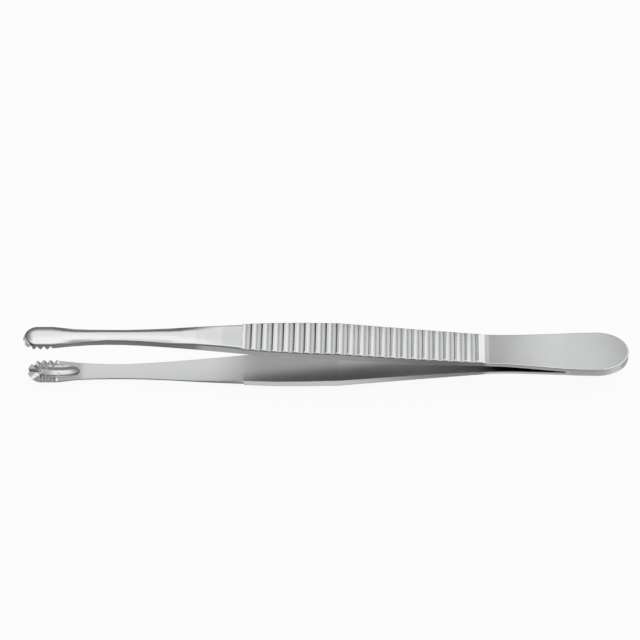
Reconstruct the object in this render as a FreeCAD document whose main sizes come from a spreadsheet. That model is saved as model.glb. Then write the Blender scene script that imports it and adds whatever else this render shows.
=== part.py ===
import FreeCAD, Part
import Sketcher
import math
import os
import re
from FreeCAD import Placement, Rotation, Vector

# Thumb forceps for holding tissue, 150 mm long, with star-toothed cupped jaws.
#
# Two forged arms lie face to face at the butt and spread towards the jaws. Each arm is drawn in
# the same frame: x runs from the jaw's nose to the butt, y across the arm, and z away from the
# plane in which the arms meet. The lower arm is that form turned half round about x, with its
# teeth half a pitch along, so that the two jaws interlock. A short bead of weld closes the
# narrow slot between the arms where they meet.

SIZES = {
    # Widths of an arm, from the nose to the butt
    "overall_length": 150.0,
    "jaw_width": 7.0,
    "throat_width": 5.45,
    "neck_width": 4.52,
    "neck_end_width": 5.03,
    "flare_width": 6.99,
    "grip_start_width": 8.4,
    "grip_front_width": 9.65,
    "grip_middle_width": 10.2,
    "grip_width": 10.4,
    "grip_rear_width": 10.1,
    "waist_width": 9.56,
    "butt_width": 12.25,
    # Places along an arm, from the nose
    "jaw_length": 7.3,
    "throat_place": 12.5,
    "neck_place": 21.0,
    "neck_end_place": 30.0,
    "flare_place": 43.0,
    "grip_place": 54.4,
    # Heights of the inner face above the plane in which the arms meet
    "tooth_height": 6.19,
    "throat_inner": 6.37,
    "neck_inner": 6.43,
    "neck_end_inner": 6.3,
    "flare_inner": 6.0,
    "grip_inner": 5.2,
    "shoulder_inner": 3.98,
    "heel_inner": 2.25,
    "strap_inner": 1.15,
    "root_gap": 0.2,
    # Heights of the outer face above the plane in which the arms meet
    "jaw_thickness": 1.69,
    "neck_outer": 7.93,
    "flare_outer": 7.82,
    "grip_outer": 7.2,
    "shoulder_outer": 6.31,
    "heel_outer": 4.19,
    "flank_outer": 2.58,
    "strap_outer": 2.12,
    "butt_outer": 1.27,
    # Degrees by which the sides lean in towards the back, along the jaw and neck and at the grip
    "side_lean": 26.0,
    "grip_lean": 8.0,
    # Radii of the outer side: of its two edges and of the crown between them
    "jaw_edge": 0.8,
    "jaw_crown": 8.0,
    "neck_edge": 0.6,
    "neck_crown": 3.6,
    "flare_crown": 9.0,
    "grip_start_crown": 40.0,
    "grip_edge": 0.75,
    "butt_edge": 0.3,
    # Fluted grip, in three straight banks
    "flute_pitch": 2.643,
    "flute_depth": 0.32,
    "flute_crest": 0.4,
    "front_flutes": 9,
    "middle_flutes": 7,
    "rear_flutes": 6,
    "grip_land": 0.35,
    "flank_length": 1.5,
    # Spring straps, butt and weld; the shares are of the largest radius that fits between the waist
    # and the butt's widest place
    "butt_round": 7.7,
    "waist_straight": 2.6,
    "waist_bend_share": 0.3351495,
    "butt_shoulder_share": 0.4608306,
    "butt_end": 5.2,
    "butt_flat": 16.0,
    "butt_joint": 14.8,
    "weld_length": 0.9,
    # Star teeth and cup of the jaws
    "tooth_step": 0.35,
    "notch_depth": 0.7,
    "notch_half_angle": 45.0,
    "side_notches": 3,
    "side_notch_pitch": 1.67,
    "side_notch_first": 2.93,
    "lower_front_notches": 3,
    "lower_front_spread": 100.0,
    "upper_front_notches": 4,
    "upper_front_spread": 133.0,
    "cup_front": 1.75,
    "cup_length": 12.0,
    "cup_width": 4.7,
    "cup_depth": 1.0,
}

# Places and sizes that follow from those above
DERIVED = {
    "shoulder_place": "grip_place + front_flutes * flute_pitch",
    "heel_place": "shoulder_place + middle_flutes * flute_pitch",
    "flank_place": "heel_place + rear_flutes * flute_pitch + grip_land",
    "strap_place": "flank_place + flank_length",
    "taper_end_place": "overall_length - butt_flat",
    "joint_place": "overall_length - butt_joint",
    "slot_end_place": "joint_place - weld_length",
    "round_place": "overall_length - butt_round",
    "jaw_outer": "tooth_height + jaw_thickness",
    "bend_run": "round_place - strap_place - waist_straight",
    "bend_rise": "(butt_width - waist_width) / 2",
    "bend_limit": "(bend_run ^ 2 + bend_rise ^ 2) / (2 * bend_rise)",
    "waist_bend": "waist_bend_share * bend_limit",
    "butt_shoulder": "butt_shoulder_share * bend_limit",
    "rear_slope": "(heel_outer - flank_outer) / (flank_place - heel_place)",
    "grip_end_outer": "heel_outer - (strap_place - heel_place) * rear_slope",
    "flute_chord": "flute_pitch - flute_crest",
    "flute_radius": "(flute_chord ^ 2 / 4 + flute_depth ^ 2) / (2 * flute_depth)",
    "cup_round": "(cup_width ^ 2 / 4 + cup_depth ^ 2) / (2 * cup_depth)",
    "cup_sweep": "(cup_length ^ 2 / 4 + cup_depth ^ 2) / (2 * cup_depth)",
    "cup_swing": "cup_sweep - cup_round",
    "cup_pivot": "tooth_height + cup_depth - cup_sweep",
    "cup_middle": "cup_front + cup_length / 2",
}

# How far a cutting outline reaches past what it cuts
CLEARANCE = 3

START, END, CENTRE = 1, 2, 3
HORIZONTAL, VERTICAL = -1, -2

doc = FreeCAD.newDocument("ThumbForceps")
sheet = doc.addObject("Spreadsheet::Sheet", "Sizes")
for row, (alias, size) in enumerate(SIZES.items(), start=1):
    sheet.set(f"A{row}", alias)
    sheet.set(f"B{row}", str(size))
    sheet.setAlias(f"B{row}", alias)
doc.recompute()


def spelled_out(expression):
    """The expression with each derived place or size written in the sheet's own names."""
    def spell(word):
        return f"({spelled_out(DERIVED[word[0]])})" if word[0] in DERIVED else word[0]

    return re.sub(r"[a-z_]+", spell, expression)


def number(expression):
    """Value of an expression in the sheet's names."""
    return float(sheet.evalExpression(spelled_out(expression)))


def bind(item, path, expression):
    """Ties a property of an object to an expression in the sheet's names."""
    def sheet_name(word):
        return f"Sizes.{word[0]}" if word[0] in SIZES else word[0]

    item.setExpression(path, re.sub(r"[a-z_]+", sheet_name, spelled_out(expression)))


def origin_plane(body, role):
    """One of a body's own origin planes."""
    return next(feature for feature in body.Origin.OriginFeatures if feature.Role == role)


def attach(item, body, role, shift=("0", "0", "0"), axis=Vector(0, 0, 1), angle="0"):
    """Lays an object on one of its body's origin planes, shifted and turned by bound amounts."""
    item.AttachmentSupport = [(origin_plane(body, role), "")]
    item.MapMode = "FlatFace"
    item.AttachmentOffset = Placement(Vector(*map(number, shift)), Rotation(axis, number(angle)))
    for letter, amount in zip("xyz", shift):
        if amount != "0":
            bind(item, f".AttachmentOffset.Base.{letter}", amount)
    if angle != "0":
        bind(item, ".AttachmentOffset.Rotation.Angle", angle)


def add_sketch(body, name, role, **lie):
    """A new sketch of a body, on one of its origin planes."""
    sketch = body.newObject("Sketcher::SketchObject", name)
    attach(sketch, body, role, **lie)
    return sketch


def join(sketch, kind, *geometry):
    """Adds a geometric constraint."""
    sketch.addConstraint(Sketcher.Constraint(kind, *geometry))


def dimension(sketch, kind, *geometry, size):
    """Adds a dimension and ties it to the sheet."""
    index = sketch.addConstraint(Sketcher.Constraint(kind, *geometry, number(size)))
    bind(sketch, f"Constraints[{index}]", size)


def place_point(sketch, geometry, position, across, up):
    """Dimensions one point of a sketch from its origin."""
    for kind, axis, size in (("DistanceX", VERTICAL, across), ("DistanceY", HORIZONTAL, up)):
        if size == "0":
            join(sketch, "PointOnObject", geometry, position, axis)
        else:
            dimension(sketch, kind, HORIZONTAL, START, geometry, position, size=size)


def line(sketch, start, end, construction=False):
    """Adds a straight line between two points given as numbers."""
    return sketch.addGeometry(Part.LineSegment(Vector(*start), Vector(*end)), construction)


def arc(sketch, centre, radius, start, end):
    """Adds an arc, anticlockwise between two angles in radians."""
    form = Part.Circle(Vector(*centre), Vector(0, 0, 1), radius)
    return sketch.addGeometry(Part.ArcOfCircle(form, start, end), False)


def circle(sketch, centre, radius):
    """A dimensioned circle about a dimensioned centre."""
    form = Part.Circle(Vector(*map(number, centre)), Vector(0, 0, 1), number(radius))
    ring = sketch.addGeometry(form, False)
    dimension(sketch, "Radius", ring, size=radius)
    place_point(sketch, ring, CENTRE, *centre)


def chain(sketch, corners):
    """Straight lines through dimensioned corners. Gives the numbers of the first and last line."""
    points = [(number(across), number(up)) for across, up in corners]
    lines = [line(sketch, *pair) for pair in zip(points, points[1:])]
    for first, second in zip(lines, lines[1:]):
        join(sketch, "Coincident", first, END, second, START)
    for edge, (across, up) in zip(lines, corners):
        place_point(sketch, edge, START, across, up)
    place_point(sketch, lines[-1], END, *corners[-1])
    return lines[0], lines[-1]


def polygon(sketch, corners):
    """A closed outline of straight lines through dimensioned corners."""
    first, last = chain(sketch, corners)
    closing = line(sketch, *[(number(across), number(up)) for across, up in (corners[-1], corners[0])])
    join(sketch, "Coincident", last, END, closing, START)
    join(sketch, "Coincident", closing, END, first, START)


def take_in(body, feature):
    """Makes a feature the body's latest."""
    body.Tip = feature
    return feature


def pocket(body, name, profile, symmetric=True, length=None):
    """Cuts a profile out of the body, to both sides or one, all the way or to a length."""
    cut = body.newObject("PartDesign::Pocket", name)
    cut.Profile = profile
    cut.SideType = "Symmetric" if symmetric else "One side"
    if length:
        bind(cut, "Length", length)
    else:
        cut.Type = "ThroughAll"
    return take_in(body, cut)


def repeat(body, name, cut, count, step):
    """Repeats a cut along its own profile's horizontal axis."""
    pattern = body.newObject("PartDesign::LinearPattern", name)
    pattern.Originals = [cut]
    pattern.Direction = (cut.Profile[0], ["H_Axis"])
    pattern.Mode = "Spacing"
    bind(pattern, "Offset", step)
    bind(pattern, "Occurrences", count)
    return take_in(body, pattern)


def add_strap(body):
    """Flat spring strap and butt of an arm, from the grip's flank to the round end."""
    side = add_sketch(body, "StrapSide", "XZ_Plane")
    polygon(side, [
        ("strap_place", "strap_inner"),
        ("slot_end_place", "root_gap"),
        ("joint_place", "root_gap"),
        ("joint_place", "0"),
        ("overall_length", "0"),
        ("overall_length", "butt_outer"),
        ("taper_end_place", "butt_outer"),
        ("strap_place", "strap_outer"),
    ])
    pad = body.newObject("PartDesign::Pad", "StrapPad")
    pad.Profile = side
    pad.SideType = "Symmetric"
    bind(pad, "Length", f"butt_width + {CLEARANCE}")
    take_in(body, pad)

    trim = trim_to_plan(body)
    doc.recompute()
    rounding = body.newObject("PartDesign::Fillet", "StrapEdge")
    rounding.Base = (trim, back_edges(trim.Shape))
    bind(rounding, "Radius", "butt_edge")
    take_in(body, rounding)


def back_edges(shape):
    """Names of the edges between the strap's back and its sides and round end."""
    names = []
    for index, edge in enumerate(shape.Edges, start=1):
        faces = shape.ancestorsOfType(edge, Part.Face)
        normals = [face.normalAt(*face.Surface.parameter(face.CenterOfMass)) for face in faces]
        if any(normal.z > 0.9 for normal in normals) and any(abs(normal.y) > 0.1 for normal in normals):
            names.append(f"Edge{index}")
    return names


def trim_to_plan(body):
    """Cuts the strap, the butt or the bead of weld to the outline that they share in plan."""
    plan = add_sketch(body, "StrapPlan", "XY_Plane")
    past_end = f"overall_length + {CLEARANCE}"
    past_side = f"butt_width / 2 + {CLEARANCE}"
    first, last = chain(plan, [
        ("overall_length", "0"),
        (past_end, "0"),
        (past_end, past_side),
        ("strap_place", past_side),
        ("strap_place", "waist_width / 2"),
    ])

    start = Vector(number("strap_place"), number("waist_width / 2"))
    widest = Vector(number("round_place"), number("butt_width / 2"))
    hollow, large, small = number("waist_bend"), number("butt_shoulder"), number("butt_end")
    leave = start + Vector(number("waist_straight"), 0, 0)
    run, rise = widest.x - leave.x, hollow + large - widest.y + leave.y
    slope = math.atan2(run, rise) - math.acos((hollow + large) / math.hypot(run, rise))
    lean = Vector(-math.sin(slope), math.cos(slope), 0)
    hollow_centre, large_centre = leave + Vector(0, hollow, 0), widest - Vector(0, large, 0)
    gap = number("overall_length") - small - widest.x
    middle = (gap**2 + widest.y**2 - small**2) / (2 * (widest.y - small))
    turn = math.atan2(middle - widest.y, gap)

    waist = line(plan, start, leave)
    bend = arc(plan, hollow_centre, hollow, 1.5 * math.pi, 1.5 * math.pi + slope)
    flank = line(plan, hollow_centre - lean * hollow, large_centre + lean * large)
    shoulder = arc(plan, large_centre, large, math.pi / 2, math.pi / 2 + slope)
    corner_round = arc(plan, widest - Vector(0, middle, 0), middle, turn, math.pi / 2)
    end_round = arc(plan, Vector(number("overall_length") - small, 0, 0), small, 0, turn)
    join(plan, "Coincident", last, END, waist, START)
    join(plan, "Horizontal", waist)
    join(plan, "Tangent", waist, END, bend, START)
    join(plan, "Tangent", bend, END, flank, START)
    join(plan, "Tangent", flank, END, shoulder, END)
    join(plan, "Tangent", shoulder, START, corner_round, END)
    join(plan, "Tangent", corner_round, START, end_round, END)
    join(plan, "Coincident", end_round, START, first, START)
    join(plan, "Vertical", shoulder, START, shoulder, CENTRE)
    join(plan, "PointOnObject", end_round, CENTRE, HORIZONTAL)
    dimension(plan, "DistanceX", waist, START, waist, END, size="waist_straight")
    dimension(plan, "Radius", bend, size="waist_bend")
    dimension(plan, "Radius", shoulder, size="butt_shoulder")
    dimension(plan, "Radius", end_round, size="butt_end")
    place_point(plan, shoulder, START, "round_place", "butt_width / 2")

    trim = pocket(body, "StrapTrim", plan)
    both = body.newObject("PartDesign::Mirrored", "StrapTrims")
    both.Originals = [trim]
    both.MirrorPlane = (origin_plane(body, "XZ_Plane"), [""])
    return take_in(body, both)


def section_form(width, inner, outer, edge, crown, lean):
    """Corner points and centres of half a cross-section, and the angles at which its edge arc ends."""
    large, radius = number(crown), number(edge)
    tilt = math.radians(number(lean))
    outwards, upwards = Vector(math.cos(tilt), math.sin(tilt)), Vector(-math.sin(tilt), math.cos(tilt))
    foot = Vector(number(width) / 2, number(inner))
    crown_centre = Vector(0, number(outer) - large)
    start = foot - outwards * radius - crown_centre
    rise = start.dot(upwards)
    height = math.sqrt(rise**2 - start.dot(start) + (large - radius) ** 2) - rise
    edge_centre = foot - outwards * radius + upwards * height
    reach = edge_centre - crown_centre
    return foot, foot + upwards * height, edge_centre, crown_centre, tilt, math.atan2(reach.y, reach.x)


def mirrored(point):
    """A sketch's point on the other side of its upright axis."""
    return Vector(-point.x, point.y)


def lean_side(sketch, side, lean):
    """Holds a side of a cross-section at its lean."""
    index = sketch.addConstraint(Sketcher.Constraint("Angle", side, math.radians(90 + number(lean))))
    bind(sketch, f"Constraints[{index}]", f"90 + {lean}")


def add_station(body, name, place, width, inner, outer, edge, crown, lean):
    """Cross-section of an arm: flat inner face, leaning sides and a crowned back with round edges."""
    sketch = add_sketch(body, name, "YZ_Plane", shift=("0", "0", place))
    foot, top, edge_centre, crown_centre, tilt, meet = section_form(width, inner, outer, edge, crown, lean)
    bottom = line(sketch, mirrored(foot), foot)
    right = line(sketch, foot, top)
    right_edge = arc(sketch, edge_centre, number(edge), tilt, meet)
    back = arc(sketch, crown_centre, number(crown), meet, math.pi - meet)
    left_edge = arc(sketch, mirrored(edge_centre), number(edge), math.pi - meet, math.pi - tilt)
    left = line(sketch, mirrored(top), mirrored(foot))
    height = line(sketch, (0, 0), (0, number(outer)), construction=True)
    join(sketch, "Coincident", bottom, END, right, START)
    join(sketch, "Coincident", left, END, bottom, START)
    for first, second in ((right, right_edge), (right_edge, back), (back, left_edge), (left_edge, left)):
        join(sketch, "Tangent", first, END, second, START)
    lean_side(sketch, right, lean)
    join(sketch, "Symmetric", bottom, START, bottom, END, VERTICAL)
    join(sketch, "Horizontal", right, END, left, START)
    join(sketch, "PointOnObject", back, CENTRE, VERTICAL)
    join(sketch, "Equal", right_edge, left_edge)
    join(sketch, "Coincident", height, START, HORIZONTAL, START)
    join(sketch, "PointOnObject", height, END, VERTICAL)
    join(sketch, "PointOnObject", height, END, back)
    dimension(sketch, "Radius", right_edge, size=edge)
    dimension(sketch, "Radius", back, size=crown)
    dimension(sketch, "DistanceX", HORIZONTAL, START, bottom, END, size=f"{width} / 2")
    dimension(sketch, "DistanceY", HORIZONTAL, START, bottom, END, size=inner)
    dimension(sketch, "DistanceY", HORIZONTAL, START, height, END, size=outer)
    return sketch


def between(first, second, share):
    """A size part of the way from one to another."""
    return f"({first} + ({second} - {first}) * {share})"


def midway(before, start, end, after):
    """Sizes halfway between two cross-sections, on the smooth curve through four in a row."""
    return [f"(9 * ({b} + {c}) - {a} - {d}) / 16" for a, b, c, d in zip(before, start, end, after)]


def add_neck(body):
    """Jaw and neck of an arm, through round-backed cross-sections from the nose's centre to the grip."""
    jaw = ("jaw_width", "tooth_height", "jaw_outer", "jaw_edge", "jaw_crown")
    neck = ("neck_outer", "neck_edge", "neck_crown")
    named = [(*sizes, "side_lean") for sizes in (
        ("jaw_width / 2", *jaw),
        ("jaw_length", *jaw),
        ("throat_place", "throat_width", "throat_inner", *neck),
        ("neck_place", "neck_width", "neck_inner", *neck),
        ("neck_end_place", "neck_end_width", "neck_end_inner", *neck),
        ("flare_place", "flare_width", "flare_inner", "flare_outer", "neck_edge", "flare_crown"),
    )]
    named.append((
        "grip_place", "grip_start_width", "grip_inner", "grip_outer", "grip_edge", "grip_start_crown",
        "grip_lean",
    ))
    stations = named[:2]
    for index in range(1, len(named) - 1):
        after = named[min(index + 2, len(named) - 1)]
        stations += [midway(*named[index - 1:index + 2], after), named[index + 1]]
    sections = [add_station(body, f"Neck{index}", *sizes) for index, sizes in enumerate(stations, start=1)]
    add_loft(body, "NeckLoft", sections)


def add_bank_section(body, name, place, width, inner, outer):
    """Cross-section of the grip: flat inner and outer faces, upright sides and twice bevelled edges."""
    sketch = add_sketch(body, name, "YZ_Plane", shift=("0", "0", place))
    steep, shallow = "grip_edge * (1 - tan(15))", "grip_edge * (1 - sqrt(0.5) / cos(15))"
    side = [
        (f"{width} / 2", inner),
        (f"{width} / 2", f"{outer} - {steep}"),
        (f"{width} / 2 - {shallow}", f"{outer} - {shallow}"),
        (f"{width} / 2 - {steep}", outer),
    ]
    polygon(sketch, side + [(f"-({across})", up) for across, up in reversed(side)])
    return sketch


def add_grip(body):
    """Grip of an arm, in straight banks between flat cross-sections."""
    front = [(f"grip_{end}", f"shoulder_{end}") for end in ("place", "inner", "outer")]
    third, two_thirds = ([between(*ends, share) for ends in front] for share in ("1 / 3", "2 / 3"))
    sections = [
        add_bank_section(body, name, place, width, inner, outer)
        for name, width, (place, inner, outer) in (
            ("GripStart", "grip_start_width", ("grip_place", "grip_inner", "grip_outer")),
            ("GripFront", "grip_front_width", third),
            ("GripMiddle", "grip_middle_width", two_thirds),
            ("Shoulder", "grip_width", ("shoulder_place", "shoulder_inner", "shoulder_outer")),
            ("Heel", "grip_rear_width", ("heel_place", "heel_inner", "heel_outer")),
            ("GripEnd", "waist_width", ("strap_place", "strap_inner", "grip_end_outer")),
        )
    ]
    add_loft(body, "GripLoft", sections)


def add_loft(body, name, sections):
    """Joins cross-sections by straight runs."""
    loft = body.newObject("PartDesign::AdditiveLoft", name)
    loft.Profile = sections[0]
    loft.Sections = sections[1:]
    loft.Ruled = True
    take_in(body, loft)


def add_nose(body):
    """Half-round nose: the jaw's own half section turned about the jaw's centre."""
    sketch = add_sketch(body, "NoseSection", "YZ_Plane", shift=("0", "0", "jaw_width / 2"))
    foot, top, edge_centre, crown_centre, tilt, meet = section_form(
        "jaw_width", "tooth_height", "jaw_outer", "jaw_edge", "jaw_crown", "side_lean"
    )
    bottom = line(sketch, (0, foot.y), foot)
    side = line(sketch, foot, top)
    edge = arc(sketch, edge_centre, number("jaw_edge"), tilt, meet)
    back = arc(sketch, crown_centre, number("jaw_crown"), meet, math.pi / 2)
    middle = line(sketch, (0, number("jaw_outer")), (0, foot.y))
    join(sketch, "Coincident", bottom, END, side, START)
    join(sketch, "Tangent", side, END, edge, START)
    join(sketch, "Tangent", edge, END, back, START)
    join(sketch, "Coincident", back, END, middle, START)
    join(sketch, "Coincident", middle, END, bottom, START)
    lean_side(sketch, side, "side_lean")
    join(sketch, "PointOnObject", back, CENTRE, VERTICAL)
    dimension(sketch, "Radius", edge, size="jaw_edge")
    dimension(sketch, "Radius", back, size="jaw_crown")
    place_point(sketch, bottom, START, "0", "tooth_height")
    place_point(sketch, bottom, END, "jaw_width / 2", "tooth_height")
    place_point(sketch, middle, START, "0", "jaw_outer")
    nose = body.newObject("PartDesign::Revolution", "Nose")
    nose.Profile = sketch
    nose.ReferenceAxis = (sketch, ["V_Axis"])
    nose.Angle = 180
    take_in(body, nose)


def cut_flank(body):
    """Sloping end of the grip, down to the strap's back."""
    side = add_sketch(body, "FlankSide", "XZ_Plane")
    polygon(side, [
        ("flank_place", "flank_outer"),
        ("strap_place", "strap_outer"),
        ("strap_place", f"flank_outer + {CLEARANCE}"),
        ("flank_place", f"flank_outer + {CLEARANCE}"),
    ])
    pocket(body, "Flank", side)


def cut_flutes(body, name, place, outer, next_place, next_outer, count):
    """One straight bank of the grip's flutes, each a shallow round trough across the back."""
    drop, run = f"({outer} - ({next_outer}))", f"({next_place} - {place})"
    slope = f"atan({drop} / {run})"
    step = f"flute_pitch / cos({slope})"
    shape = add_sketch(body, f"{name}Round", "XZ_Plane", shift=(place, outer, "0"), angle=f"-{slope}")
    circle(shape, (f"({step}) / 2", "flute_radius - flute_depth"), "flute_radius")
    flute = pocket(body, f"{name}Flute", shape)
    repeat(body, f"{name}Flutes", flute, count, step)


def cut_jaw(body, front_count, front_spread, side_first):
    """Cup of the jaw, the step behind its teeth, and the notches that leave the star of teeth."""
    step = add_sketch(body, "ToothStep", "XZ_Plane")
    polygon(step, [
        ("jaw_length", f"tooth_height - {CLEARANCE}"),
        ("jaw_length", "tooth_height"),
        ("jaw_length + tooth_step", "throat_inner"),
        ("throat_place", "throat_inner"),
        ("throat_place", f"tooth_height - {CLEARANCE}"),
    ])
    pocket(body, "ToothStepCut", step)

    hollow = add_sketch(body, "CupProfile", "YZ_Plane", shift=("0", "0", "cup_middle"))
    circle(hollow, ("0", "cup_pivot - cup_swing"), "cup_round")
    pivot = number("cup_pivot")
    axle = line(hollow, (0, pivot), (number("cup_round"), pivot), construction=True)
    join(hollow, "Horizontal", axle)
    place_point(hollow, axle, START, "0", "cup_pivot")
    dimension(hollow, "DistanceX", axle, START, axle, END, size="cup_round")
    cup = body.newObject("PartDesign::Groove", "Cup")
    cup.Profile = hollow
    cup.ReferenceAxis = (hollow, ["Axis0"])
    cup.Angle = 360
    take_in(body, cup)

    side = add_sketch(body, "SideNotch", "XZ_Plane", shift=(side_first, "0", "0"))
    notch_outline(side)
    side_cut = pocket(body, "SideNotchCut", side)
    repeat(body, "SideNotches", side_cut, "side_notches", "side_notch_pitch")

    front = add_sketch(body, "FrontNotch", "YZ_Plane", shift=("0", "0", "jaw_width / 2"),
                       axis=Vector(0, 1, 0), angle=f"-{front_spread} / 2")
    notch_outline(front)
    front_cut = pocket(body, "FrontNotchCut", front, symmetric=False, length="jaw_width")
    around = body.newObject("PartDesign::PolarPattern", "FrontNotches")
    around.Originals = [front_cut]
    around.Axis = (front, ["V_Axis"])
    around.Mode = "Extent"
    bind(around, "Angle", front_spread)
    bind(around, "Occurrences", front_count)
    take_in(body, around)


def notch_outline(sketch):
    """Pointed notch, open towards the other jaw."""
    mouth = "(notch_depth + tooth_height / 4) * tan(notch_half_angle)"
    polygon(sketch, [
        ("0", "tooth_height + notch_depth"),
        (f"-{mouth}", "tooth_height * 3 / 4"),
        (mouth, "tooth_height * 3 / 4"),
    ])


def add_arm(label, front_count, front_spread, side_first):
    """One forged arm, whole from nose to butt."""
    body = doc.addObject("PartDesign::Body", label)
    body.Label = label
    add_strap(body)
    add_neck(body)
    add_grip(body)
    add_nose(body)
    cut_flank(body)
    cut_flutes(body, "Front", "grip_place", "grip_outer", "shoulder_place", "shoulder_outer", "front_flutes")
    cut_flutes(body, "Middle", "shoulder_place", "shoulder_outer", "heel_place", "heel_outer",
               "middle_flutes")
    cut_flutes(body, "Rear", "heel_place", "heel_outer", "flank_place", "flank_outer", "rear_flutes")
    cut_jaw(body, front_count, front_spread, side_first)
    return body


def add_weld():
    """Bead of weld that fills the slot's root between the two arms."""
    body = doc.addObject("PartDesign::Body", "butt_weld")
    body.Label = "butt_weld"
    side = add_sketch(body, "BeadSide", "XZ_Plane")
    polygon(side, [
        ("slot_end_place", "-root_gap"),
        ("joint_place", "-root_gap"),
        ("joint_place", "root_gap"),
        ("slot_end_place", "root_gap"),
        ("slot_end_place + root_gap / 2", "0"),
    ])
    pad = body.newObject("PartDesign::Pad", "BeadPad")
    pad.Profile = side
    pad.SideType = "Symmetric"
    bind(pad, "Length", f"butt_width + {CLEARANCE}")
    take_in(body, pad)
    trim_to_plan(body)
    return body


def stand(body, turn):
    """Puts a piece in the part's frame: origin under the middle, on the surface below."""
    body.Placement = Placement(Vector(0, 0, 0), Rotation(Vector(1, 0, 0), turn))
    bind(body, ".Placement.Base.x", "-overall_length / 2")
    bind(body, ".Placement.Base.z", "neck_outer")


upper_arm = add_arm("upper_arm", "upper_front_notches", "upper_front_spread",
                    "side_notch_first + side_notch_pitch / 2")
lower_arm = add_arm("lower_arm", "lower_front_notches", "lower_front_spread", "side_notch_first")
butt_weld = add_weld()
stand(upper_arm, 0)
stand(lower_arm, 180)
stand(butt_weld, 0)
doc.recompute()

for item in doc.Objects:
    if "Invalid" in item.State or "Error" in item.State:
        raise RuntimeError(f"{item.Name} could not be worked out")

os.makedirs("parts", exist_ok=True)
for piece in (upper_arm, lower_arm, butt_weld):
    if piece.Shape.isNull() or not piece.Shape.isValid() or len(piece.Shape.Solids) != 1:
        raise RuntimeError(f"{piece.Label} is not one sound solid")
    piece.Shape.exportStep(f"parts/{piece.Label}.step")
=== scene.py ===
import math

import bpy
from bpy.props import FloatProperty, FloatVectorProperty, PointerProperty
from mathutils import Matrix, Vector


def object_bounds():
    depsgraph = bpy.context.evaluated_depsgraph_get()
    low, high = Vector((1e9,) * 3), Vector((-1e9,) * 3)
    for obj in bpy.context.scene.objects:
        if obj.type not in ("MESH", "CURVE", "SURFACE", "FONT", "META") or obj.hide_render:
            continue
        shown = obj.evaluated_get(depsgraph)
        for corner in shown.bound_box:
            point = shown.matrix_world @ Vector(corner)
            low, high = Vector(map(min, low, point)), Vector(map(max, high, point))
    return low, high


bl_info = {
    "name": "Thumb Forceps",
    "version": (1, 0, 0),
    "blender": (4, 5, 0),
    "location": "3D View > Sidebar > Forceps",
    "description": "Satin steel finish, studio and camera for a pair of thumb forceps",
    "category": "Object",
}

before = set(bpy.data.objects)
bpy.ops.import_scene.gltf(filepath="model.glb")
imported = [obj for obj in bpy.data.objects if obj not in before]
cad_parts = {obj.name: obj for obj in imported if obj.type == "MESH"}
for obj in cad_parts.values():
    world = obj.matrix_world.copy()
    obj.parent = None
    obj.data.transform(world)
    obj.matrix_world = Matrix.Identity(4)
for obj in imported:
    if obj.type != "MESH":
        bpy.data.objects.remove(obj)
CAD_BOX = [list(corner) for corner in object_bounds()]
WELD = "butt_weld"

# Places along the forceps, in metres from their middle
CUP_END = -0.0615
GRIP_START, GRIP_END, FLUTE_PITCH = -0.0206, 0.03755, 0.002643
STRAP_START, STRAP_BEND, BOW_MIDDLE = 0.0405, 0.059, 0.0612
STRAP_SLOPE = 0.0459

# Which way each arm's outer face looks, and from where on its edges are rounded more than its teeth
ARMS = {"upper_arm": (1.0, GRIP_START), "lower_arm": (-1.0, CUP_END)}
ROUND_OFF = 0.002

# Stretches along the forceps over which painted shade, roughness or the grip's crown comes or goes
CUP_CLOSES, RIM_ENDS = (CUP_END, CUP_END + 0.0005), (CUP_END - 0.001, CUP_END + 0.001)
NECK_ENDS = (-0.0212, -0.0208)
GRIP_OPENS, GRIP_CLOSES = (GRIP_START - 0.00001, GRIP_START), (GRIP_END, GRIP_END + 0.00001)
SHADE_COMES, SHADE_GOES, SLOT_DEEPENS = (-0.030, -0.015), (0.004, 0.026), (0.036, 0.046)
SIDE_COMES, SIDE_GOES = (0.0, 0.03), (0.0385, 0.0405)

# How much a face looks outwards, from 1 on the outer face to -1 on the inner one
OUTER, CORNER_STARTS, CORNER_ENDS = (0.3, 0.6), (0.84, 0.95), (0.7, 0.82)
INNER, INNER_BY_CUP = (0.985, 0.998), (0.999, 0.9997)

# Spans of a direction's X, Y or Z between which a part of the surroundings comes in
SEAM_ACROSS, SEAM_TO_BACK = (-0.03, 0.14), (-0.1, 0.25)
PANEL_ACROSS, PANEL_UP = (0.2, 0.34), (0.12, 0.3)
DIM_ACROSS, LEFT_ACROSS = (0.3, 0.5), (0.78, 0.88)

# Distances from the forceps' middle line between which the floor mirrors brighter in the steel
GLOW_STARTS, GLOW_ENDS = (0.0045, 0.0055), (0.008, 0.014)


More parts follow.
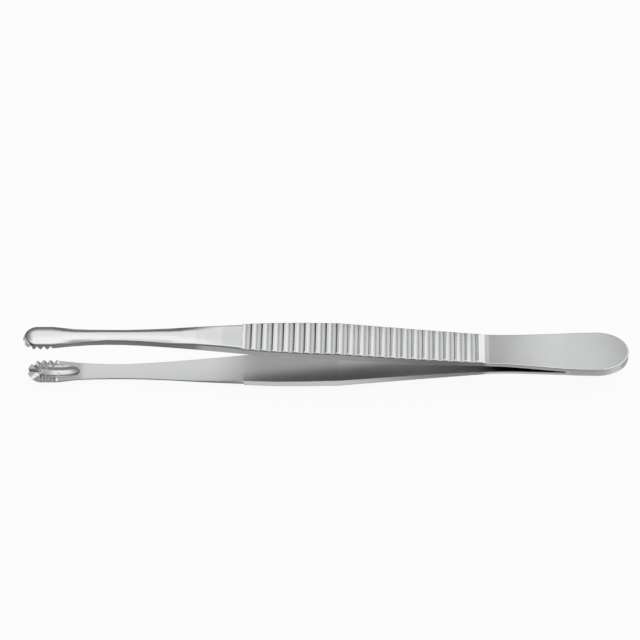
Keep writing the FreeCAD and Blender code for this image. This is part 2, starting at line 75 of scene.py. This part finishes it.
class SteelFinish(bpy.types.PropertyGroup):
    """Colours, marks and painted shade of the satin steel."""

    steel_colour: FloatVectorProperty(
        name="Steel", description="Colour of the brushed steel", subtype="COLOR",
        size=3, min=0.0, max=1.0, default=(0.57, 0.575, 0.58),
    )
    weld_colour: FloatVectorProperty(
        name="Weld", description="Colour of the bead of weld between the arms", subtype="COLOR",
        size=3, min=0.0, max=1.0, default=(0.9, 0.9, 0.9),
    )
    brush_length: FloatProperty(
        name="Brush Length", description="How far one stroke of the brush runs along the arm",
        unit="LENGTH", min=0.001, max=0.1, default=0.018,
    )
    brush_width: FloatProperty(
        name="Brush Width", description="Width of one line left by the brush",
        unit="LENGTH", min=0.00002, max=0.002, default=0.00016,
    )
    brush_height: FloatProperty(
        name="Brush Height", description="Height of the brushed lines",
        unit="LENGTH", min=0.0, max=0.0001, default=0.0000025, precision=6,
    )
    smooth_roughness: FloatProperty(
        name="Smooth", description="Roughness of the best polished places",
        subtype="FACTOR", min=0.0, max=1.0, default=0.14,
    )
    brushed_roughness: FloatProperty(
        name="Brushed", description="Roughness of the most brushed places",
        subtype="FACTOR", min=0.0, max=1.0, default=0.22,
    )
    inner_roughness: FloatProperty(
        name="Inner Faces", description="Roughness that the inner faces have beyond the outer ones",
        subtype="FACTOR", min=0.0, max=1.0, default=0.2,
    )
    flute_roughness: FloatProperty(
        name="Flutes", description="Roughness that the bottoms of the flutes have beyond their crests",
        subtype="FACTOR", min=0.0, max=1.0, default=0.08,
    )
    # Painted shade: darkens the colour at the bottoms of the flutes, where shade falls in the grooves
    flute_painted_shade: FloatProperty(
        name="Flute Shade", description="How much darker the bottoms of the flutes are",
        subtype="FACTOR", min=0.0, max=1.0, default=0.2,
    )
    # Painted shade: darkens the inner faces under the grip, standing in for the other arm's shade and its
    # painted reflection in them
    inner_painted_shade: FloatProperty(
        name="Inner Shade", description="How much darker the inner faces are under the grip",
        subtype="FACTOR", min=0.0, max=1.0, default=0.42,
    )
    # Painted shade: darkens the inner faces deep in the narrow slot between the arms
    slot_painted_shade: FloatProperty(
        name="Slot Shade", description="How much darker the inner faces are deep in the slot",
        subtype="FACTOR", min=0.0, max=1.0, default=0.85,
    )
    # Painted shade: darkens the side walls of the grip for how the light falls on them
    side_painted_shade: FloatProperty(
        name="Side Shade", description="How much darker the sides of the grip are",
        subtype="FACTOR", min=0.0, max=1.0, default=0.55,
    )
    # Painted shade: darkens the rounded corners of the necks and jaws, standing in for the dark band that they
    # mirror
    neck_painted_shade: FloatProperty(
        name="Neck Shade", description="How much darker the rounded corners of the necks and jaws are",
        subtype="FACTOR", min=0.0, max=1.0, default=0.55,
    )
    # Painted shade: darkens the flat rims of the inner faces beside the cups, where the arms shade each other
    rim_painted_shade: FloatProperty(
        name="Rim Shade", description="How much darker the rims beside the cups are",
        subtype="FACTOR", min=0.0, max=1.0, default=0.3,
    )
    jaw_round: FloatProperty(
        name="Tooth Round", description="Radius to which tumbling has rounded the teeth",
        unit="LENGTH", min=0.0, max=0.001, default=0.00008, precision=5,
    )
    edge_round: FloatProperty(
        name="Edge Round", description="Radius to which tumbling has rounded the other edges",
        unit="LENGTH", min=0.0, max=0.001, default=0.00012, precision=5,
    )
    grip_crown: FloatProperty(
        name="Grip Crown", description="Radius of the slight crown that polishing leaves across the grip",
        unit="LENGTH", min=0.01, max=1.0, default=0.045,
    )
    strap_bow: FloatProperty(
        name="Strap Bow", description="How strongly polishing bows the straps, as slope per metre squared",
        min=0.0, max=1000.0, default=230.0,
    )


class StudioSet(bpy.types.PropertyGroup):
    """Floor, surroundings and lamps of the studio."""

    floor_colour: FloatVectorProperty(
        name="Floor", description="Colour of the floor", subtype="COLOR",
        size=3, min=0.0, max=1.0, default=(0.62, 0.62, 0.62),
    )
    floor_size: FloatProperty(
        name="Floor Size", description="Width of the square floor",
        unit="LENGTH", min=0.5, max=20.0, default=6.0,
    )
    floor_whiteness: FloatProperty(
        name="Floor Whiteness", description="Share of plain white in what the camera sees of the floor",
        subtype="FACTOR", min=0.0, max=1.0, default=0.93,
    )
    wall_level: FloatProperty(
        name="Walls", description="Brightness of the studio's dim walls as the steel mirrors them",
        min=0.0, max=2.0, default=0.22,
    )
    canopy_level: FloatProperty(
        name="Canopy", description="Brightness of the white canopy over the table",
        min=0.0, max=2.0, default=1.4,
    )
    canopy_lean: FloatProperty(
        name="Canopy Lean", description="How far the canopy leans over to the back",
        subtype="ANGLE", min=-1.0, max=1.0, default=math.radians(12),
    )
    canopy_foot: FloatProperty(
        name="Canopy Foot", description="Height angle at which the canopy starts",
        subtype="ANGLE", min=0.0, max=1.5, default=math.radians(33),
    )
    canopy_head: FloatProperty(
        name="Canopy Head", description="Height angle from which the canopy is fully bright",
        subtype="ANGLE", min=0.0, max=1.5, default=math.radians(50),
    )
    seam_level: FloatProperty(
        name="Seam", description="Brightness of the dimmer strip between the canopy and the side panel",
        min=0.0, max=2.0, default=0.65,
    )
    panel_level: FloatProperty(
        name="Side Panel", description="Brightness of the lit panel on the right",
        min=0.0, max=2.0, default=1.5,
    )


    left_level: FloatProperty(
        name="Left Panel", description="Brightness of the lit panel on the left",
        min=0.0, max=2.0, default=1.2,
    )
    left_dimming: FloatProperty(
        name="Left Dimming", description="How much dimmer the canopy is on the left",
        subtype="FACTOR", min=0.0, max=1.0, default=0.75,
    )
    lamp_place: FloatVectorProperty(
        name="Lamp Place", description="Where the soft lamp hangs",
        subtype="TRANSLATION", unit="LENGTH", size=3, default=(-0.1, 0.05, 0.7),
    )
    lamp_size: FloatProperty(
        name="Lamp Size", description="Width of the square lamp",
        unit="LENGTH", min=0.01, max=5.0, default=0.5,
    )
    lamp_power: FloatProperty(
        name="Lamp Power", description="Power of the lamp in watts", min=0.0, max=100.0, default=0.15,
    )


class CameraSet(bpy.types.PropertyGroup):
    """Where the camera stands and how it is held."""

    azimuth: FloatProperty(
        name="Azimuth", description="Turn of the camera round the forceps",
        subtype="ANGLE", default=math.radians(-3.01),
    )
    elevation: FloatProperty(
        name="Elevation", description="Height angle of the camera",
        subtype="ANGLE", default=math.radians(49.1),
    )
    roll: FloatProperty(
        name="Roll", description="Tilt of the camera about its own line of sight",
        subtype="ANGLE", default=math.radians(-2.35),
    )
    distance: FloatProperty(
        name="Distance", description="From the camera to the middle of the picture",
        unit="LENGTH", min=0.1, max=5.0, default=0.8,
    )
    lens: FloatProperty(
        name="Lens", description="Focal length in millimetres", min=20.0, max=400.0, default=180.98,
    )
    aim_across: FloatProperty(
        name="Aim Across", description="How far right of the forceps' middle the camera aims",
        unit="LENGTH", default=-0.00151,
    )
    aim_up: FloatProperty(
        name="Aim Up", description="How far above the forceps' middle the camera aims",
        unit="LENGTH", default=0.008573,
    )


class Signal:
    """A shader value that is worked out with plain arithmetic."""

    def __init__(self, tree, socket):
        self.tree = tree
        self.socket = socket

    def _math(self, operation, *values):
        return self.tree.node("ShaderNodeMath", {"operation": operation}, dict(enumerate(values)))[0]

    def __add__(self, other):
        return self._math("ADD", self, other)

    def __radd__(self, other):
        return self._math("ADD", other, self)

    def __sub__(self, other):
        return self._math("SUBTRACT", self, other)

    def __rsub__(self, other):
        return self._math("SUBTRACT", other, self)

    def __mul__(self, other):
        return self._math("MULTIPLY", self, other)

    def __rmul__(self, other):
        return self._math("MULTIPLY", other, self)

    def fraction(self):
        """What is over a whole number."""
        return self._math("FRACT", self)

    def size(self):
        """The value without its sign."""
        return self._math("ABSOLUTE", self)

    def larger(self, other):
        """The larger of two values."""
        return self._math("MAXIMUM", self, other)

    def between(self, low, high):
        """Rises smoothly from 0 at low to 1 at high."""
        settings = {"interpolation_type": "SMOOTHSTEP"}
        sockets = {"Value": self, "From Min": low, "From Max": high, "To Min": 0.0, "To Max": 1.0}
        return self.tree.node("ShaderNodeMapRange", settings, sockets)["Result"]


class Shader:
    """A node tree that is filled one node at a time."""

    def __init__(self, owner):
        owner.use_nodes = True
        self.tree = owner.node_tree
        self.tree.nodes.clear()

    def node(self, kind, settings=None, sockets=None):
        """Adds a node, sets its settings and then its sockets, and gives its outputs by name or number."""
        made = self.tree.nodes.new(kind)
        for name, value in (settings or {}).items():
            setattr(made, name, value)
        for name, value in (sockets or {}).items():
            if isinstance(value, Signal):
                self.tree.links.new(value.socket, made.inputs[name])
            else:
                made.inputs[name].default_value = value
        return Outputs(self, made)


class Outputs:
    """A node's outputs, each as a value to go on working with."""

    def __init__(self, tree, made):
        self.tree = tree
        self.made = made

    def __getitem__(self, name):
        return Signal(self.tree, self.made.outputs[name])


def colour(rgb):
    """A colour with full opacity."""
    return (*rgb, 1.0)


def flute_bottoms(x):
    """1 along the bottom of each flute and 0 along each crest, and 1 all over the grip."""
    phase = ((x - GRIP_START) * (1.0 / FLUTE_PITCH)).fraction()
    depth = (1.0 - (phase * 2.0 - 1.0).size()).between(0.2, 0.8)
    grip = x.between(*GRIP_OPENS) * (1.0 - x.between(*GRIP_CLOSES))
    return depth * grip, grip


def polished_form(finish, x, y, grip):
    """Height in metres of the slight crown of the grip and bow of the straps."""
    crown = y * y * grip * (-0.5 / finish.grip_crown)
    held = x.larger(STRAP_START)
    reach = held - BOW_MIDDLE
    bow = reach * reach * reach * (-finish.strap_bow / 3.0)
    return crown + bow - (STRAP_BEND - held).larger(0.0) * STRAP_SLOPE


def inner_faces(x, facing):
    """1 on the flat faces that the arms turn to each other, but 0 in the cups."""
    turned = facing * -1.0
    return turned.between(*INNER) * x.between(*CUP_CLOSES).larger(turned.between(*INNER_BY_CUP))


def painted_shade_amount(finish, x, facing, bottoms, inner):
    """How much painted shade darkens the steel's colour in the flutes, on the sides and rounded corners, on the
    inner faces under the grip, in the slot and beside the cups.
    """
    # painted shade on the rounded corners of the necks and jaws
    corner = (1.0 - facing.between(*CORNER_STARTS)) * facing.between(*CORNER_ENDS)
    corner = corner * (1.0 - x.between(*NECK_ENDS))
    # painted shade on the side walls of the grip
    side = (1.0 - facing.size().between(*OUTER)) * x.between(*SIDE_COMES) * (1.0 - x.between(*SIDE_GOES))
    # painted shade and painted reflection of the other arm on the inner faces under the grip
    under_grip = inner * x.between(*SHADE_COMES) * (1.0 - x.between(*SHADE_GOES))
    # painted shade deep in the slot between the arms
    slot = inner * x.between(*SLOT_DEEPENS)
    # painted shade on the inner rims beside the cups
    rim = inner * (1.0 - x.between(*RIM_ENDS))
    return (
        # painted shade in the flute bottoms
        bottoms * finish.flute_painted_shade
        + side * finish.side_painted_shade
        + corner * finish.neck_painted_shade
        + under_grip * finish.inner_painted_shade
        + slot * finish.slot_painted_shade
        + rim * finish.rim_painted_shade
    )


def brushed_steel(finish, outwards, round_start):
    """Satin stainless steel, brushed lengthwise, with its sharp edges tumbled and painted shade darkening its
    colour in the flutes, on its sides and corners and on its inner faces.
    """
    material = bpy.data.materials.new("satin_steel")
    shader = Shader(material)
    source = shader.node("ShaderNodeTexCoord")
    place = source["Object"]
    point = shader.node("ShaderNodeSeparateXYZ", {}, {"Vector": place})
    facing = shader.node("ShaderNodeSeparateXYZ", {}, {"Vector": source["Normal"]})["Z"] * outwards
    bottoms, grip = flute_bottoms(point["X"])
    bottoms = bottoms * facing.between(*OUTER)
    inner = inner_faces(point["X"], facing)

    along, across = 1.0 / finish.brush_length, 1.0 / finish.brush_width
    strokes = shader.node(
        "ShaderNodeMapping", {}, {"Vector": place, "Scale": (along, across, across)},
    )["Vector"]
    lines = shader.node(
        "ShaderNodeTexNoise", {}, {"Vector": strokes, "Scale": 1.0, "Detail": 3.0, "Roughness": 0.6},
    )["Fac"]
    cloud = shader.node("ShaderNodeTexNoise", {}, {"Vector": place, "Scale": 90.0, "Detail": 2.0})["Fac"]
    spread = finish.brushed_roughness - finish.smooth_roughness
    rough = (lines * 0.6 + cloud * 0.4).between(0.3, 0.7) * spread + finish.smooth_roughness
    rough = rough + inner * finish.inner_roughness + bottoms * finish.flute_roughness

    bright = shader.node(
        "ShaderNodeMix", {"data_type": "RGBA"},
        {
            "Factor": cloud.between(0.3, 0.7),
            "A": colour([0.94 * part for part in finish.steel_colour]),
            "B": colour(finish.steel_colour),
        },
    )["Result"]
    # Painted shade: the steel's colour is mixed towards black by the painted shade amounts
    tint = shader.node(
        "ShaderNodeMix", {"data_type": "RGBA"},
        {
            "Factor": painted_shade_amount(finish, point["X"], facing, bottoms, inner),
            "A": bright,
            "B": colour((0.0, 0.0, 0.0)),
        },
    )["Result"]

    beyond = point["X"].between(round_start - ROUND_OFF, round_start) * (finish.edge_round - finish.jaw_round)
    tumbled = shader.node("ShaderNodeBevel", {"samples": 8}, {"Radius": beyond + finish.jaw_round})["Normal"]
    height = lines * finish.brush_height + polished_form(finish, point["X"], point["Y"], grip)
    relief = shader.node(
        "ShaderNodeBump", {}, {"Strength": 1.0, "Distance": 1.0, "Height": height, "Normal": tumbled},
    )["Normal"]
    surface = shader.node(
        "ShaderNodeBsdfPrincipled", {},
        {"Base Color": tint, "Metallic": 1.0, "Roughness": rough, "Normal": relief},
    )["BSDF"]
    shader.node("ShaderNodeOutputMaterial", {}, {"Surface": surface})
    return material


def weld_steel(finish):
    """Dull, finely rippled steel of a bead of weld."""
    material = bpy.data.materials.new("weld_steel")
    shader = Shader(material)
    place = shader.node("ShaderNodeTexCoord")["Object"]
    ripple = shader.node(
        "ShaderNodeTexNoise", {}, {"Vector": place, "Scale": 2500.0, "Detail": 2.0},
    )["Fac"]
    low, high = [0.8 * part for part in finish.weld_colour], list(finish.weld_colour)
    tint = shader.node(
        "ShaderNodeMix", {"data_type": "RGBA"},
        {"Factor": ripple.between(0.35, 0.65), "A": colour(low), "B": colour(high)},
    )["Result"]
    relief = shader.node(
        "ShaderNodeBump", {}, {"Strength": 0.6, "Distance": 0.00003, "Height": ripple},
    )["Normal"]
    rough = ripple * 0.2 + 0.3
    surface = shader.node(
        "ShaderNodeBsdfPrincipled", {},
        {"Base Color": tint, "Metallic": 0.2, "Roughness": rough, "Normal": relief},
    )["BSDF"]
    shader.node("ShaderNodeOutputMaterial", {}, {"Surface": surface})
    return material


def floor_finish(studio):
    """Matt pale floor that the camera sees nearly white, with the forceps' shadow on it."""
    material = bpy.data.materials.new("studio_floor")
    shader = Shader(material)
    rays = shader.node("ShaderNodeLightPath")
    place = shader.node("ShaderNodeTexCoord")["Object"]
    away = shader.node("ShaderNodeSeparateXYZ", {}, {"Vector": place})["Y"].size()
    glow = away.between(*GLOW_STARTS) * (1.0 - away.between(*GLOW_ENDS))
    seen = rays["Is Camera Ray"].larger(rays["Is Transmission Ray"]).larger(rays["Is Glossy Ray"] * glow)
    matt = shader.node("ShaderNodeBsdfDiffuse", {}, {"Color": colour(studio.floor_colour)})["BSDF"]
    white = shader.node(
        "ShaderNodeEmission", {}, {"Color": colour((1.0, 1.0, 1.0)), "Strength": 1.0},
    )["Emission"]
    mixed = shader.node(
        "ShaderNodeMixShader", {}, {0: seen * studio.floor_whiteness, 1: matt, 2: white},
    )["Shader"]
    shader.node("ShaderNodeOutputMaterial", {}, {"Surface": mixed})
    return material


def paint(node, material):
    """Gives a piece of the forceps its finish."""
    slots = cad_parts[node].material_slots
    for slot in slots:
        slot.material = material


class FORCEPS_OT_arms(bpy.types.Operator):
    """Give both arms their satin steel finish"""

    bl_idname = "forceps.arms"
    bl_label = "Finish Arms"

    def execute(self, context):
        for arm, (outwards, round_start) in ARMS.items():
            paint(arm, brushed_steel(context.scene.forceps_finish, outwards, round_start))
        return {"FINISHED"}


class FORCEPS_OT_weld(bpy.types.Operator):
    """Give the bead of weld between the arms its finish"""

    bl_idname = "forceps.weld"
    bl_label = "Finish Weld"

    def execute(self, context):
        paint(WELD, weld_steel(context.scene.forceps_finish))
        return {"FINISHED"}


class FORCEPS_OT_studio(bpy.types.Operator):
    """Lay the pale floor and set the studio's light"""

    bl_idname = "forceps.studio"
    bl_label = "Set Studio"

    def execute(self, context):
        studio = context.scene.forceps_studio
        self.lay_floor(studio)
        self.light_surroundings(context.scene, studio)
        self.hang_lamp(context.scene, studio)
        return {"FINISHED"}

    def lay_floor(self, studio):
        bpy.ops.mesh.primitive_plane_add(size=studio.floor_size, location=(0.0, 0.0, CAD_BOX[0][2] - 0.0001))
        floor = bpy.context.object
        floor.name = "floor"
        floor.data.materials.append(floor_finish(studio))

    def light_surroundings(self, scene, studio):
        world = bpy.data.worlds.new("studio")
        scene.world = world
        shader = Shader(world)
        rays = shader.node("ShaderNodeLightPath")
        heading = shader.node("ShaderNodeTexCoord")["Generated"]
        way = shader.node("ShaderNodeSeparateXYZ", {}, {"Vector": heading})
        over = way["Y"] * math.sin(studio.canopy_lean) + way["Z"] * math.cos(studio.canopy_lean)
        canopy = over.between(math.sin(studio.canopy_foot), math.sin(studio.canopy_head))
        seam = way["X"].between(*SEAM_ACROSS) * way["Y"].between(*SEAM_TO_BACK)
        seam = seam * (studio.seam_level - studio.canopy_level)
        panel = way["X"].between(*PANEL_ACROSS) * way["Z"].between(*PANEL_UP)
        walls = canopy * (seam + studio.canopy_level - studio.wall_level) + studio.wall_level
        walls = walls.larger(panel * studio.panel_level)
        leftwards = way["X"] * -1.0
        walls = walls * (1.0 - leftwards.between(*DIM_ACROSS) * studio.left_dimming)
        left = leftwards.between(*LEFT_ACROSS)
        walls = walls.larger(left * studio.left_level)
        seen = rays["Is Camera Ray"].larger(rays["Is Transmission Ray"])
        strength = walls * (1.0 - seen) + seen
        back = shader.node("ShaderNodeBackground", {}, {"Color": colour((1.0, 1.0, 1.0)), "Strength": strength})
        shader.node("ShaderNodeOutputWorld", {}, {"Surface": back["Background"]})

    def hang_lamp(self, scene, studio):
        light = bpy.data.lights.new("overhead_lamp", "AREA")
        light.shape, light.size, light.energy = "SQUARE", studio.lamp_size, studio.lamp_power
        lamp = bpy.data.objects.new("overhead_lamp", light)
        lamp.location = studio.lamp_place
        lamp.rotation_euler = (-Vector(studio.lamp_place)).to_track_quat("-Z", "Y").to_euler()
        scene.collection.objects.link(lamp)


class FORCEPS_OT_camera(bpy.types.Operator):
    """Set the camera where it looks down on the forceps from the front"""

    bl_idname = "forceps.camera"
    bl_label = "Set Camera"

    def execute(self, context):
        held = context.scene.forceps_camera
        flat = math.cos(held.elevation)
        sight = Vector((
            math.sin(held.azimuth) * flat,
            math.cos(held.azimuth) * flat,
            -math.sin(held.elevation),
        ))
        level = sight.cross(Vector((0.0, 0.0, 1.0))).normalized()
        upright = level.cross(sight)
        across = level * math.cos(held.roll) + upright * math.sin(held.roll)
        up = across.cross(sight)
        low, high = (Vector(corner) for corner in CAD_BOX)
        aim = (low + high) / 2 + across * held.aim_across + up * held.aim_up
        camera = bpy.data.objects.new("camera", bpy.data.cameras.new("camera"))
        camera.data.lens = held.lens
        camera.data.clip_start, camera.data.clip_end = 0.01, 20.0
        turned = Matrix((across, up, -sight)).transposed().to_4x4()
        camera.matrix_world = Matrix.Translation(aim - sight * held.distance) @ turned
        context.scene.collection.objects.link(camera)
        context.scene.camera = camera
        context.scene.view_settings.view_transform = "Standard"
        return {"FINISHED"}


class FORCEPS_PT_panel(bpy.types.Panel):
    """Lists the forceps' steps and settings."""

    bl_label = "Thumb Forceps"
    bl_idname = "FORCEPS_PT_panel"
    bl_space_type = "VIEW_3D"
    bl_region_type = "UI"
    bl_category = "Forceps"

    def draw(self, context):
        groups = (
            (context.scene.forceps_finish, SteelFinish, (FORCEPS_OT_arms, FORCEPS_OT_weld)),
            (context.scene.forceps_studio, StudioSet, (FORCEPS_OT_studio,)),
            (context.scene.forceps_camera, CameraSet, (FORCEPS_OT_camera,)),
        )
        for values, kind, steps in groups:
            box = self.layout.box()
            for name in kind.__annotations__:
                box.prop(values, name)
            for step in steps:
                box.operator(step.bl_idname)


GROUPS = {"forceps_finish": SteelFinish, "forceps_studio": StudioSet, "forceps_camera": CameraSet}
STEPS = (FORCEPS_OT_arms, FORCEPS_OT_weld, FORCEPS_OT_studio, FORCEPS_OT_camera)


def register():
    for kind in (*GROUPS.values(), *STEPS, FORCEPS_PT_panel):
        bpy.utils.register_class(kind)
    for name, kind in GROUPS.items():
        setattr(bpy.types.Scene, name, PointerProperty(type=kind))


def unregister():
    for name in GROUPS:
        delattr(bpy.types.Scene, name)
    for kind in reversed((*GROUPS.values(), *STEPS, FORCEPS_PT_panel)):
        bpy.utils.unregister_class(kind)


def main():
    register()
    bpy.ops.forceps.arms()
    bpy.ops.forceps.weld()
    bpy.ops.forceps.studio()
    bpy.ops.forceps.camera()


if __name__ == "__main__":
    main()
